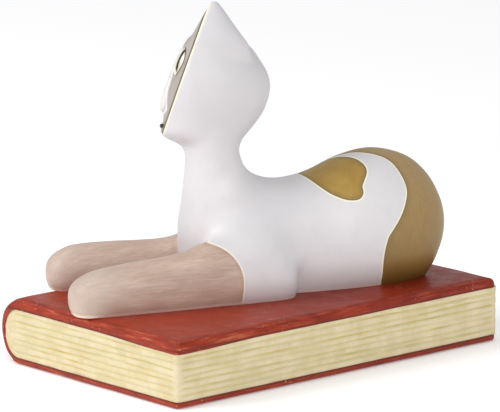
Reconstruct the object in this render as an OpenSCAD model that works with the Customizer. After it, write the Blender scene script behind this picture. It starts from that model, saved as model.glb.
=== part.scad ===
// Glazed ceramic cat lying on a closed book.
// The frame: +Z up, origin in the middle of the book's underside, the book's long side along Y,
// its spine toward -X. The cat lies across the top board with its head toward -Y.

/* [Book] */
// Length of the book, along its spine
book_l = 182.4; // [150:0.1:220]
// Width of the book, from the spine to the fore-edge
book_w = 114; // [100:1:150]
// Height of the pages between the two boards
pages_h = 20.8; // [16:0.2:30]
// Thickness of the top board
top_board = 4.6; // [4:0.1:8]
// Thickness of the bottom board and of the spine's wall
bottom_board = 2.2; // [2:0.1:4]
// How far the rounded spine stands out from the flat part of the boards
spine_depth = 11; // [7:0.5:16]
// Radius on the free edges of the top board
board_edge = 3.6; // [1:0.1:3.8]
// How far the pages stand back from the boards' edges
pages_inset = 0.4; // [0.2:0.1:3]
// Number of leaf bundles carved into the pages
leaf_bundles = 8; // [4:1:12]
// Depth of the groove between two bundles
groove_depth = 0.8; // [0.4:0.1:1.5]
// Wall of the hollow page block
pages_wall = 5; // [3:0.5:8]
// Diameter of the hole that lets the hollow castings breathe in the kiln
vent_d = 8; // [4:0.5:10]

/* [Felt base] */
// Thickness of the felt sheet under the book
felt_t = 0.8; // [0.5:0.1:2]
// How far the felt stays inside the book's edges
felt_margin = 7; // [4:0.5:14]
// Radius of the felt's corners
felt_corner = 5; // [2:0.5:10]

/* [Cat] */
// Direction of the cat's tail end, turned from the book's X axis
cat_turn = 69.5; // [60:0.5:90]
// How far the cat stands off the middle of the book, along the spine
cat_shift = -1.2; // [-6:0.1:6]
// Size of the cat's body against the modelled one
cat_size = 1; // [0.8:0.01:1.05]
// Wall of the cat's hollow body and head
cat_wall = 4; // [3:0.25:5]
// Diameter of the pegs that locate the cat on the book
peg_d = 7; // [5:0.5:9]
// Length of the locating pegs
peg_l = 3; // [2:0.5:3.5]
// Width of the joint line between two pieces that are stuck together
joint_gap = 0.1; // [0.05:0.05:0.2]

/* [Head] */
// Turn of the head toward the cat's left
head_turn = 21.1; // [0:0.1:30]
// Sideways tilt of the head
head_tilt = 12; // [0:0.5:15]
// Diameter of the spigot on the neck that carries the head
spigot_d = 13; // [10:0.5:16]
// Length of the spigot
spigot_l = 5; // [3:0.5:8]
// Half the distance between the tips of the ears
ear_spread = 13; // [10:0.5:16]

/* [Hidden] */

book_h = bottom_board + pages_h + top_board;
deck = felt_t + book_h;
far = 300;
fit = 0.2;

// ---- smooth stations -------------------------------------------------------------------

// A point on the smooth curve through rows 1 and 2 of four neighbouring rows.
function smooth(a, b, c, d, u) =
    0.5 * (2 * b + (c - a) * u + (2 * a - 5 * b + 4 * c - d) * u * u
           + (3 * b - a - 3 * c + d) * u * u * u);

// A table of stations, refined to n steps between each two rows.
function refine(rows, n) = [
    for (i = [0:len(rows) - 2], k = [0:n - 1])
        smooth(rows[max(i - 1, 0)], rows[i], rows[i + 1], rows[min(i + 2, len(rows) - 1)], k / n),
    rows[len(rows) - 1]
];

// A skin over rings that all have the same number of points, with flat ends.
module skin(rings) {
    n = len(rings[0]);
    last = len(rings) - 1;
    points = [for (ring = rings, p = ring) p];
    side = [for (i = [0:last - 1], k = [0:n - 1])
        let (a = i * n + k, b = i * n + (k + 1) % n)
        each [[a, b + n, b], [a, a + n, b + n]]];
    first_end = [for (k = [1:n - 2]) [0, k, k + 1]];
    last_end = [for (k = [1:n - 2]) [last * n, last * n + k + 1, last * n + k]];
    polyhedron(points, concat(first_end, side, last_end), convexity = 6);
}

// The two signs of a half-axis raised to a power keep an oval full or keen.
function oval(v, power) = sign(v) * pow(abs(v), power);

// ---- the cat's own place -----------------------------------------------------------------

// Cat frame: X toward the tail end, Y toward the cat's right flank, Z up from the book.
module on_book() {
    translate([0, cat_shift, deck]) rotate([0, 0, cat_turn]) scale(cat_size) children();
}

neck_x = -16.5;
neck_z = 60;
head_seat = -1.5;
neck_reach = 24;

// Head frame: X toward the back of the head, Y toward its right side, Z toward the ears.
module on_neck() {
    translate([neck_x, 0, neck_z]) rotate([0, 0, -head_turn]) rotate([-head_tilt, 0, 0])
        children();
}

// ---- cat body ------------------------------------------------------------------------------

// Sections of the body from the rump to the neck: the top point, the bottom point, half the width.
body_rows = [
    [87.2, 24.0, 87.0, 20.0, 1.0],
    [86.4, 30.0, 85.2, 12.5, 8.0],
    [84.0, 36.8, 81.8, 5.0, 13.5],
    [78.6, 45.2, 76.6, -2.5, 19.0],
    [70.0, 52.0, 68.6, -6.0, 23.5],
    [56.0, 55.6, 56.0, -9.0, 26.0],
    [42.0, 53.3, 42.0, -11.0, 26.5],
    [28.0, 47.8, 28.0, -12.0, 25.5],
    [16.0, 45.6, 12.0, -12.0, 24.5],
    [7.0, 46.4, -4.0, -10.0, 23.0],
    [0.2, 49.2, -18.0, -4.0, 21.5],
    [-3.9, 53.4, -28.0, 6.0, 19.5],
    [-5.6, 58.0, -31.6, 22.0, 16.0],
    [-6.0, 61.5, -30.5, 36.0, 13.2],
    [-5.8, 65.0, -29.0, 49.0, 12.0],
    [-5.4, 70.0, -28.4, 60.0, 11.6],
    [-5.4, 76.0, -28.3, 74.0, 11.6]
];

// One section of the body; wall is how far the section is drawn in.
function body_ring(row, wall, n = 32) =
    let (top = [row[0], 0, row[1]], bottom = [row[2], 0, row[3]])
    let (half = norm(top - bottom) / 2, up = (top - bottom) / (2 * half))
    [for (k = [0:n - 1]) let (a = 360 * k / n)
        (top + bottom) / 2 + up * (half - wall) * cos(a) + [0, (row[4] - wall) * sin(a), 0]];

// The hollow leaves the chest thick where the forelegs are let into it.
chest_from = 9;
chest_cavity = 9;
function cavity_row(i) = let (row = body_rows[i])
    i < chest_from ? row
    : [row[0], row[1], row[2], row[3] + 4, min(row[4], chest_cavity + cat_wall)];

module body_outer() {
    skin([for (row = refine(body_rows, 3)) body_ring(row, 0)]);
}

module body_cavity() {
    rows = [for (i = [3:len(body_rows) - 2]) cavity_row(i)];
    intersection() {
        skin([for (row = refine(rows, 2)) body_ring(row, cat_wall, 20)]);
        translate([-far, -far, cat_wall]) cube(2 * far);
    }
}

peg_places = [[58, 0], [14, 0]];

module cat_body() color("gainsboro") on_book() resize([0, 0, 0]) difference() {
    union() {
        difference() {
            union() {
                body_outer();
                foreleg_form(-1);
                foreleg_form(1);
            }
            translate([-far, -far, -2 * far]) cube(2 * far);
            on_neck() translate([-neck_reach, -neck_reach, head_seat]) cube(2 * neck_reach);
            foreleg_cut(-1, joint_gap);
            foreleg_cut(1, joint_gap);
        }
        on_neck() translate([-1, 0, head_seat - 4]) cylinder(d = spigot_d, h = spigot_l + 4, $fn = 48);
        for (p = peg_places) translate([p[0], p[1], -peg_l]) cylinder(d = peg_d, h = peg_l + 2, $fn = 48);
    }
    body_cavity();
    on_neck() translate([-1, 0, -12]) cylinder(d = vent_d, h = 30, $fn = 32);
    translate([36, 0, -peg_l - 1]) cylinder(d = vent_d, h = 20, $fn = 32);
}

// ---- forelegs ------------------------------------------------------------------------------

// Sections of a foreleg from the paw to the elbow: place, middle, half width, top, bottom.
leg_rows = [
    [-89.4, 25.2, 1.0, 8.0, 6.0],
    [-88.8, 25.2, 4.6, 11.2, 2.0],
    [-87.0, 25.2, 7.6, 13.6, -1.0],
    [-83.6, 25.2, 9.5, 15.9, -3.0],
    [-77.0, 25.2, 10.4, 18.2, -3.5],
    [-62.0, 25.2, 10.4, 20.2, -3.5],
    [-48.0, 25.2, 10.3, 21.4, -3.5],
    [-38.0, 25.0, 10.4, 22.9, -3.5],
    [-28.0, 24.4, 10.6, 26.6, -3.5],
    [-14.0, 23.0, 11.3, 29.5, -3.5],
    [-3.0, 21.4, 11.0, 30.5, -3.5],
    [6.0, 19.6, 9.6, 26.5, -3.0],
    [11.0, 18.4, 6.4, 20.0, 1.0],
    [12.8, 18.0, 1.0, 12.0, 8.0]
];

// The cat's right foreleg lies a little further back, lower, and turned inward.
right_leg_back = 6.9;
right_leg_slope = 0.095;
right_leg_turn = 7;

function leg_ring(row, side, grow, n = 24) =
    let (middle = (row[3] + row[4]) / 2, half = (row[3] - row[4]) / 2)
    [for (k = [0:n - 1]) let (a = -360 * k / n)
        [row[0] + (row[0] < -85 ? -grow : 0),
         side * row[1] + (row[2] + grow) * oval(sin(a), 0.9),
         middle + (half + grow) * oval(cos(a), 0.9)]];

module leg_place(side) {
    if (side < 0) children();
    else translate([-84 + right_leg_back, 25, 0]) rotate([0, 0, -right_leg_turn])
        translate([84, -25, 0]) children();
}

// The right leg's top falls away toward the elbow.
function leg_row(row, side) =
    side < 0 ? row : [row[0], row[1], row[2], row[3] - max(0, row[0] + 76) * right_leg_slope, row[4]];

module foreleg_form(side, grow = 0) {
    leg_place(side) skin([for (row = refine(leg_rows, 3)) leg_ring(leg_row(row, side), side, grow)]);
}

// The shoulder joint is an arch over the leg; all of the leg in front of it is one casting.
arch_x = -31;
arch_z = 10;
arch_l = 15.4;
arch_h = 16.8;

module shoulder_arch(grow) {
    translate([arch_x - far, -far, -far]) cube([far, 2 * far, 2 * far]);
    translate([arch_x - 1, -far, arch_z - far]) cube([arch_l + 1 + grow, 2 * far, far]);
    translate([arch_x, 0, arch_z]) rotate([90, 0, 0]) scale([arch_l + grow, arch_h + grow, 1])
        cylinder(r = 1, h = 2 * far, center = true, $fn = 72);
}

module foreleg_cut(side, grow) {
    intersection() {
        foreleg_form(side, grow);
        leg_place(side) shoulder_arch(grow);
    }
}

module foreleg(side) {
    resize([0, 0, 0]) difference() {
        foreleg_cut(side, 0);
        translate([-far, -far, -2 * far]) cube(2 * far);
    }
}

module left_foreleg() color("rosybrown") on_book() foreleg(-1);

module right_foreleg() color("rosybrown") on_book() foreleg(1);

// ---- head ------------------------------------------------------------------------------------

// Sections of the skull: height, front, widest place, back, half width.
skull_rows = [
    [-1.5, -12.3, -0.8, 10.4, 11.6],
    [0.5, -12.8, -1.0, 10.7, 11.8],
    [2.6, -15.2, -1.5, 11.3, 12.2],
    [4.6, -19.4, -2.5, 12.2, 12.8],
    [7.5, -22.6, -4.0, 14.6, 13.7],
    [12.6, -21.5, -5.0, 18.7, 15.4],
    [17.6, -21.3, -6.0, 21.6, 17.0],
    [22.7, -20.8, -7.0, 23.3, 18.0],
    [27.7, -19.2, -8.0, 23.8, 18.6],
    [32.8, -17.4, -8.8, 22.5, 18.6],
    [37.8, -15.2, -8.5, 19.5, 18.0],
    [42.8, -13.4, -7.0, 16.0, 17.2],
    [46.3, -11.6, -5.0, 11.5, 12.5],
    [48.6, -9.0, -3.0, 5.0, 7.0],
    [49.4, -4.0, -2.5, -1.0, 1.0]
];

// Sections of one ear: height, front, widest place, back, middle, half width.
ear_rows = [
    [30.0, -6.0, 0.0, 10.0, -7.0, 3.0],
    [36.0, -9.0, -3.0, 16.0, -5.0, 7.0],
    [42.8, -12.2, -5.0, 15.4, -2.6, 7.0],
    [47.9, -9.3, -4.5, 11.9, -1.6, 6.6],
    [52.9, -6.4, -3.0, 8.3, -0.8, 5.4],
    [58.0, -3.5, -1.0, 4.8, -0.2, 3.4],
    [60.6, -1.9, 0.0, 2.8, 0.0, 2.2],
    [61.9, -0.7, 0.2, 1.5, 0.0, 1.1]
];

// A ring with a keen front and a round back.
function head_ring(height, front, wide, back, middle, half, n = 32, keen = 1.12) =
    [for (k = [0:n - 1]) let (a = 360 * k / n)
        [cos(a) > 0 ? wide + (back - wide) * cos(a)
                    : wide - (wide - front) * pow(-cos(a), keen),
         middle + half * sin(a),
         height]];

module skull() {
    skin([for (r = refine(skull_rows, 3)) head_ring(r[0], r[1], r[2], r[3], 0, r[4])]);
}

module ear(side) {
    rows = refine(ear_rows, 2);
    skin([for (r = rows) head_ring(r[0], r[1], r[2], r[3], side * (ear_spread + r[4]), r[5], 20, 1)]);
}

module head_form() {
    skull();
    ear(-1);
    ear(1);
}

// The face is stuck on a flat that leans back from the chin to the ears.
rim_foot = -23.7;
rim_lean = 19.8;

module in_front_of_rim(gap) {
    translate([rim_foot - gap, 0, 0]) rotate([0, rim_lean, 0]) translate([-far, -far, -far])
        cube([far, 2 * far, 2 * far]);
}

// The hollow is an egg whose ends stay a wall's thickness inside the skull.
module head_hollow() {
    translate([3.5, 0, 26]) rotate([0, rim_lean, 0])
        scale([17.6 - cat_wall, 18.2 - cat_wall, 21 - cat_wall]) sphere(r = 1, $fn = 36);
}

module head() color("whitesmoke") on_book() on_neck() resize([0, 0, 0]) difference() {
    head_form();
    in_front_of_rim(0);
    head_hollow();
    translate([-1, 0, head_seat - 1]) cylinder(d = spigot_d + 2 * fit, h = spigot_l + 1.5, $fn = 48);
    translate([-1, 0, 0]) cylinder(d = vent_d, h = 14, $fn = 32);
}

module face_plate() color("tan") on_book() on_neck() resize([0, 0, 0]) difference() {
    intersection() {
        head_form();
        in_front_of_rim(joint_gap);
    }
    translate([-far, -far, -2 * far + 5.6]) cube(2 * far);
    nose_form(joint_gap);
    eye_form(-1, joint_gap);
    eye_form(1, joint_gap);
    mouth_form(joint_gap);
}

// Sections of the nose bridge: height, front, back, half width.
nose_rows = [
    [15.6, -21.6, -18.5, 2.6],
    [16.4, -22.3, -18.5, 4.0],
    [17.6, -22.6, -18.5, 4.9],
    [19.5, -22.5, -18.3, 5.2],
    [22.0, -21.9, -17.9, 5.2],
    [25.0, -21.0, -17.4, 4.8],
    [28.0, -19.9, -16.6, 4.2],
    [31.0, -18.7, -15.7, 3.5],
    [34.0, -17.6, -14.8, 2.7],
    [38.0, -16.0, -13.5, 2.0],
    [42.0, -14.1, -12.0, 1.4],
    [46.0, -11.8, -10.6, 0.8]
];

module nose_form(grow = 0) {
    skin([for (r = refine(nose_rows, 2))
        let (middle = (r[1] + r[2]) / 2, half = (r[2] - r[1]) / 2)
        [for (k = [0:15]) let (a = 360 * k / 16)
            [middle + (half + grow) * cos(a), (r[3] + grow) * sin(a), r[0]]]]);
}

module nose_bridge() color("white") on_book() on_neck() resize([0, 0, 0]) nose_form();

eye_across = 10.9;
eye_front = -12.9;
eye_height = 37.2;
eye_size = [2.2, 4.4, 7.0];
eye_yaw = 22;

module eye_form(side, grow = 0) {
    translate([eye_front, side * eye_across, eye_height]) rotate([0, rim_lean, -side * eye_yaw])
        scale([for (s = eye_size) s + grow]) sphere(r = 1, $fn = 28);
}

// Each eye is a dome let right through the face, with a flat back.
module eye(side) {
    intersection() {
        eye_form(side);
        in_front_of_rim(joint_gap);
    }
}

module left_eye() color("ivory") on_book() on_neck() resize([0, 0, 0]) eye(-1);

module right_eye() color("ivory") on_book() on_neck() resize([0, 0, 0]) eye(1);

mouth_place = [-19.4, 0, 10.0];
mouth_size = [3.2, 4.4, 1.0];

module mouth_form(grow = 0) {
    translate(mouth_place) scale([for (m = mouth_size) m + grow]) sphere(r = 1, $fn = 28);
}

// The mouth is a dab set in the face, cut flat at the back like the eyes.
module mouth() color("dimgray") on_book() on_neck() resize([0, 0, 0])
    intersection() {
        mouth_form();
        in_front_of_rim(joint_gap);
    }

// ---- tail --------------------------------------------------------------------------------------

// The tail lies on the book along the cat's right flank: place, side, height, radius.
tail_rows = [
    [79.0, 8.0, 6.0, 4.6],
    [75.0, 19.0, 5.4, 5.4],
    [66.0, 27.6, 5.2, 5.2],
    [54.0, 32.4, 5.0, 5.0],
    [40.0, 34.8, 4.8, 4.8],
    [26.0, 35.8, 4.5, 4.5],
    [14.0, 38.0, 4.1, 4.1],
    [5.0, 42.0, 3.6, 3.6],
    [2.0, 44.2, 2.6, 2.2],
    [1.2, 45.0, 2.2, 0.8]
];

module tail_form() {
    rows = refine(tail_rows, 3);
    last = len(rows) - 1;
    skin([for (i = [0:last])
        let (a = rows[max(i - 1, 0)], b = rows[min(i + 1, last)], r = rows[i])
        let (run = [b[0] - a[0], b[1] - a[1], 0], out = [-run[1], run[0], 0] / norm(run))
        [for (k = [0:15]) let (q = 360 * k / 16)
            [r[0], r[1], r[2]] + r[3] * (out * cos(q) + [0, 0, sin(q)])]]);
}

module tail() color("tan") on_book() resize([0, 0, 0]) difference() {
    tail_form();
    translate([-far, -far, -2 * far]) cube(2 * far);
    body_outer();
}

// ---- book ----------------------------------------------------------------------------------------

// Half of an upright oval, for the rounded spine, from the bottom to the top.
function half_oval(x, z, deep, tall, n = 20) =
    [for (k = [0:n]) let (a = -90 - 180 * k / n) [x + deep * cos(a), z + tall * sin(a)]];

flat_from = -book_w / 2 + spine_depth;
fore_edge = book_w / 2;

edge_low = 0.7;

// The rounded upper corner of the top board.
function round_corner(x, z, r, n = 6) =
    [for (k = [0:n]) let (a = 90 - 90 * k / n) [x + r * cos(a), z + r * sin(a)]];

// The cover's cross-section: two boards joined by the rounded spine.
module cover_section() {
    difference() {
        polygon(concat(
            half_oval(flat_from, book_h / 2, spine_depth, book_h / 2),
            round_corner(fore_edge - board_edge, book_h - board_edge, board_edge),
            [[fore_edge, book_h - top_board + edge_low],
             [fore_edge - edge_low, book_h - top_board],
             [fore_edge - edge_low, bottom_board],
             [fore_edge, bottom_board - edge_low],
             [fore_edge, edge_low],
             [fore_edge - edge_low, 0]]));
        pages_section(far);
    }
}

// The page block's cross-section, stretched past the fore-edge when it is used as a cut.
module pages_section(past) {
    polygon(concat(
        half_oval(flat_from, bottom_board + pages_h / 2, spine_depth - bottom_board, pages_h / 2),
        [[fore_edge + past, bottom_board + pages_h], [fore_edge + past, bottom_board]]));
}

module stand() {
    translate([0, 0, felt_t]) children();
}

module lengthwise(l) {
    translate([0, l / 2, 0]) rotate([90, 0, 0]) linear_extrude(l) children();
}

module on_peg_places() {
    for (p = peg_places)
        translate([0, cat_shift, book_h]) rotate([0, 0, cat_turn]) scale(cat_size)
            translate([p[0], p[1], 0]) children();
}

module book_cover() color("firebrick") stand() difference() {
    lengthwise(book_l) cover_section();
    for (end = [0, 1]) mirror([0, end, 0]) translate([0, book_l / 2, book_h - board_edge])
        rotate([45, 0, 0]) translate([-book_w, 0, -book_w]) cube(2 * book_w);
    translate([0, 0, -1]) cylinder(d = vent_d, h = bottom_board + 2, $fn = 32);
    on_peg_places() translate([0, 0, -peg_l - fit])
        cylinder(d = peg_d + 2 * fit, h = peg_l + 2, $fn = 48);
    vent_through_top();
}

module vent_through_top() {
    translate([0, cat_shift, book_h - top_board - pages_wall - 1]) rotate([0, 0, cat_turn])
        translate([36 * cat_size, 0, 0]) cylinder(d = vent_d, h = top_board + pages_wall + 2, $fn = 32);
}

bundle_h = pages_h / leaf_bundles;

// One bundle of leaves: a slab with a groove cut round its three free sides.
module leaf_slab(inset, h) {
    l = book_l - 2 * (pages_inset + inset);
    translate([flat_from, -l / 2, 0])
        cube([fore_edge - pages_inset - inset - flat_from, l, h]);
}

module page_block() color("cornsilk") stand() difference() {
    union() {
        for (i = [0:leaf_bundles - 1]) translate([0, 0, bottom_board + i * bundle_h]) {
            leaf_slab(groove_depth, bundle_h);
            translate([0, 0, bundle_h * 0.2]) leaf_slab(0, bundle_h * 0.6);
        }
        intersection() {
            lengthwise(book_l - 2 * pages_inset) pages_section(0);
            translate([-far + flat_from + 1, -far, 0]) cube([far, 2 * far, far]);
        }
    }
    translate([flat_from, -book_l / 2 + pages_inset + pages_wall + 1, bottom_board + pages_wall])
        cube([fore_edge - flat_from - pages_inset - pages_wall - 1,
              book_l - 2 * (pages_inset + pages_wall + 1),
              pages_h - 2 * pages_wall]);
    translate([0, 0, bottom_board - 1]) cylinder(d = vent_d, h = pages_wall + 2, $fn = 32);
    vent_through_top();
}

// A rectangle with round corners, middle at the origin.
function round_rect(w, l, r, n = 6) = [
    for (c = [[1, 1, 0], [-1, 1, 90], [-1, -1, 180], [1, -1, 270]], k = [0:n])
        let (a = c[2] + 90 * k / n)
        [c[0] * (w / 2 - r) + r * cos(a), c[1] * (l / 2 - r) + r * sin(a)]
];

module felt_base() color("dimgray") linear_extrude(felt_t)
    polygon(round_rect(book_w - 2 * felt_margin, book_l - 2 * felt_margin, felt_corner));

cat_body();
head();
face_plate();
nose_bridge();
left_eye();
right_eye();
mouth();
left_foreleg();
right_foreleg();
tail();
book_cover();
page_block();
felt_base();
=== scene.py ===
import math
import bmesh
import bpy
from mathutils import Matrix, Vector, noise
from mathutils.bvhtree import BVHTree


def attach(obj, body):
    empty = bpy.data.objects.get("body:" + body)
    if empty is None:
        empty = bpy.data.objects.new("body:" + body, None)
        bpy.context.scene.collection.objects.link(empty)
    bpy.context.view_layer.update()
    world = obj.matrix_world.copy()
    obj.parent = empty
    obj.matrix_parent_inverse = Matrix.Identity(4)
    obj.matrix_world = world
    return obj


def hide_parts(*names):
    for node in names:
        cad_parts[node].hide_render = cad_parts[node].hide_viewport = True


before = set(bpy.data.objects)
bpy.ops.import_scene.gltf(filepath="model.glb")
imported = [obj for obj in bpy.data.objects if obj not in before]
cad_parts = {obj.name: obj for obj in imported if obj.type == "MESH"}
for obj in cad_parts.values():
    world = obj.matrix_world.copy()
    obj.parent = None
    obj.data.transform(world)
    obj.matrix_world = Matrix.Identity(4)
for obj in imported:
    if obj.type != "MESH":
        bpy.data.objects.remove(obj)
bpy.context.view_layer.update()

# ---- Book cover ---------------------------------------------------------------------------
# Two boards and a rounded spine, cast in one piece with the book and glazed brick red.
# The casting was sponged by hand, so the edges are soft and a little uneven; the crests of the rims are
# painted pale, partly worn glaze and partly a painted highlight.

# Everything is modelled in millimetres and settled in metres.
felt = 0.8
book_long, book_wide, book_high = 182.4, 114.0, 27.6
top_board, bottom_board, spine_deep = 4.6, 2.2, 11.0
deck = felt + book_high
flat_from = -book_wide / 2 + spine_deep
fore_edge = book_wide / 2
pages_low, pages_top = felt + bottom_board, deck - top_board


def tint(red, green, blue):
    """A glaze colour as the painter reads it, from 0 to 255, made linear."""
    line = [c / 255 for c in (red, green, blue)]
    return tuple(c / 12.92 if c <= 0.04045 else ((c + 0.055) / 1.055) ** 2.4 for c in line) + (1,)


# The same unevenness is drawn every time.
noise.seed_set(7)


def sway(place, size, amount):
    """The small unevenness a hand leaves: a smooth push whose waves are size millimetres long."""
    return noise.noise_vector(place / size) * amount


def settle(name, clay, glaze, place=Matrix.Identity(4), crisp=38):
    """Turns finished clay in millimetres into a piece in metres, riding on the body."""
    if isinstance(clay, bmesh.types.BMesh):
        mesh = bpy.data.meshes.new(name)
        clay.to_mesh(mesh)
        clay.free()
    else:
        mesh = clay
        mesh.name = name
    mesh.transform(Matrix.Scale(0.001, 4) @ place)
    mesh.shade_smooth()
    mesh.set_sharp_from_angle(angle=math.radians(crisp))
    mesh.materials.clear()
    mesh.materials.append(glaze)
    piece = bpy.data.objects.new(name, mesh)
    bpy.context.scene.collection.objects.link(piece)
    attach(piece, "root")
    return piece


def mark(mesh, name, value_at):
    """Writes a measure onto every point of a mesh, for its glaze to read."""
    layer = mesh.attributes.new(name, "FLOAT", "POINT")
    for point, slot in zip(mesh.vertices, layer.data):
        slot.value = value_at(point.co)


def new_glaze(name, rough, coat=0.0, coat_rough=0.1, specular=0.5):
    glaze = bpy.data.materials.new(name)
    glaze.use_nodes = True
    finish = glaze.node_tree.nodes["Principled BSDF"]
    finish.inputs["Roughness"].default_value = rough
    finish.inputs["Coat Weight"].default_value = coat
    finish.inputs["Coat Roughness"].default_value = coat_rough
    finish.inputs["Specular IOR Level"].default_value = specular
    return glaze, glaze.node_tree, finish


def step(tree, kind, out=0, settings=(), **inputs):
    """One node of a glaze; inputs named in_0, in_1 ... take a value or another node's output."""
    made = tree.nodes.new(kind)
    for key, value in settings:
        setattr(made, key, value)
    for key, value in inputs.items():
        socket = made.inputs[int(key[3:])]
        if isinstance(value, bpy.types.NodeSocket):
            tree.links.new(value, socket)
        else:
            socket.default_value = value
    return made.outputs[out]


def along(tree, turn=0.0, stretch=(1, 1, 1)):
    """Object coordinates in millimetres, turned to a direction and drawn out along it."""
    place = step(tree, "ShaderNodeTexCoord", out=3)
    turned = step(tree, "ShaderNodeMapping", in_0=place, in_2=(0, 0, math.radians(-turn)),
                  in_3=(1000, 1000, 1000))
    return step(tree, "ShaderNodeMapping", in_0=turned, in_3=stretch)


def mottle(tree, place, size, detail=2.0, rough=0.5):
    """Cloudy noise from 0 to 1, size in millimetres."""
    return step(tree, "ShaderNodeTexNoise", in_0=place, in_2=1 / size, in_3=detail, in_4=rough)


def ramp(tree, value, low, high, out_low=0.0, out_high=1.0):
    """A soft step between two values."""
    return step(tree, "ShaderNodeMapRange", settings=[("interpolation_type", "SMOOTHSTEP")],
                in_0=value, in_1=low, in_2=high, in_3=out_low, in_4=out_high)


def lay_over(tree, amount, under, over, how="MIX"):
    """A colour laid over another by amount."""
    return step(tree, "ShaderNodeMix", out=2, settings=[("data_type", "RGBA"), ("blend_type", how)],
                in_0=amount, in_6=under, in_7=over)


def times(tree, a, b, how="MULTIPLY"):
    return step(tree, "ShaderNodeMath", settings=[("operation", how)], in_0=a, in_1=b)


def measure(tree, name):
    """A measure that was marked on the mesh."""
    return step(tree, "ShaderNodeAttribute", out=2, settings=[("attribute_name", name)])


def dent(tree, finish, height, depth, under=None):
    """Small relief, depth in millimetres, put on a glaze; a second relief can lie under it. The finish
    it is given is not used.
    """
    inputs = {"in_0": 1.0, "in_1": depth * 0.001, "in_3": height}
    if under is not None:
        inputs["in_4"] = under
    return step(tree, "ShaderNodeBump", **inputs)


# The section of both boards and the spine, as one loop of points drawn out along the book.
cover = bmesh.new()
outside = bmesh.ops.create_circle(cover, segments=64, radius=1)["verts"]
inside = bmesh.ops.create_circle(cover, segments=64, radius=1)["verts"]
middle = felt + book_high / 2
inner_middle = (pages_low + pages_top) / 2
for verts, deep, tall, level in ((outside, spine_deep, book_high / 2, middle),
                                 (inside, spine_deep - bottom_board, (pages_top - pages_low) / 2,
                                  inner_middle)):
    for v in verts:
        across, up = v.co.x, v.co.y
        v.co = Vector((flat_from + deep * min(across, 0), -book_long / 2, level + tall * up))
        if across > 0.001:
            v.co = Vector((fore_edge, -book_long / 2, level + math.copysign(tall, up)))
bmesh.ops.remove_doubles(cover, verts=cover.verts, dist=0.01)
for edge in [e for e in cover.edges
             if abs(e.verts[0].co.x - fore_edge) < 0.01 and abs(e.verts[1].co.x - fore_edge) < 0.01]:
    cover.edges.remove(edge)
bmesh.ops.remove_doubles(cover, verts=cover.verts, dist=0.01)
# The two open loops meet at the fore-edge of each board.
ends = [v for v in cover.verts if abs(v.co.x - fore_edge) < 0.01]
ends.sort(key=lambda v: v.co.z)
for low, high in ((ends[0], ends[1]), (ends[2], ends[3])):
    cover.edges.new((low, high))
bmesh.ops.contextual_create(cover, geom=cover.edges[:])
grown = bmesh.ops.extrude_face_region(cover, geom=cover.faces[:])
bmesh.ops.translate(cover, vec=(0, book_long, 0),
                    verts=[g for g in grown["geom"] if isinstance(g, bmesh.types.BMVert)])
bmesh.ops.recalc_face_normals(cover, faces=cover.faces)


# Cuts across and along, close together near the rims, give the clay points to be shaped by.
rims = (0.35, 0.8, 1.4, 2.1, 2.9, 3.8, 4.8, 6.2, 8.0, 10.0)
cuts_along = [k * 5.0 for k in range(-16, 17)] + [k * (book_long / 2 - r) for r in rims for k in (-1, 1)]
for y in cuts_along:
    bmesh.ops.bisect_plane(cover, geom=cover.verts[:] + cover.edges[:] + cover.faces[:], dist=0.01,
                           plane_co=(0, y, 0), plane_no=(0, 1, 0))
for x in [k * 5.3 for k in range(-8, 9)] + [fore_edge - r for r in rims]:
    bmesh.ops.bisect_plane(cover, geom=cover.verts[:] + cover.edges[:] + cover.faces[:], dist=0.01,
                           plane_co=(x, 0, 0), plane_no=(1, 0, 0))


def gentle(low, high, at):
    share = max(0.0, min(1.0, (at - low) / (high - low)))
    return share * share * (3 - 2 * share)


def board_at(p):
    """The way out of the cover at a point of its outside, and the wall's thickness there."""
    if p.x < flat_from - 0.01:
        across, up = (p.x - flat_from) / spine_deep, (p.z - middle) / (book_high / 2)
        if across * across + up * up < 0.995:
            return None
        out = Vector((across / spine_deep, 0, up / (book_high / 2))).normalized()
        return out, bottom_board + (top_board - bottom_board) * max(0.0, up) ** 3
    if p.z > deck - 0.01:
        return Vector((0, 0, 1)), top_board
    if p.z < felt + 0.01:
        return Vector((0, 0, -1)), bottom_board
    return None


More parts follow.
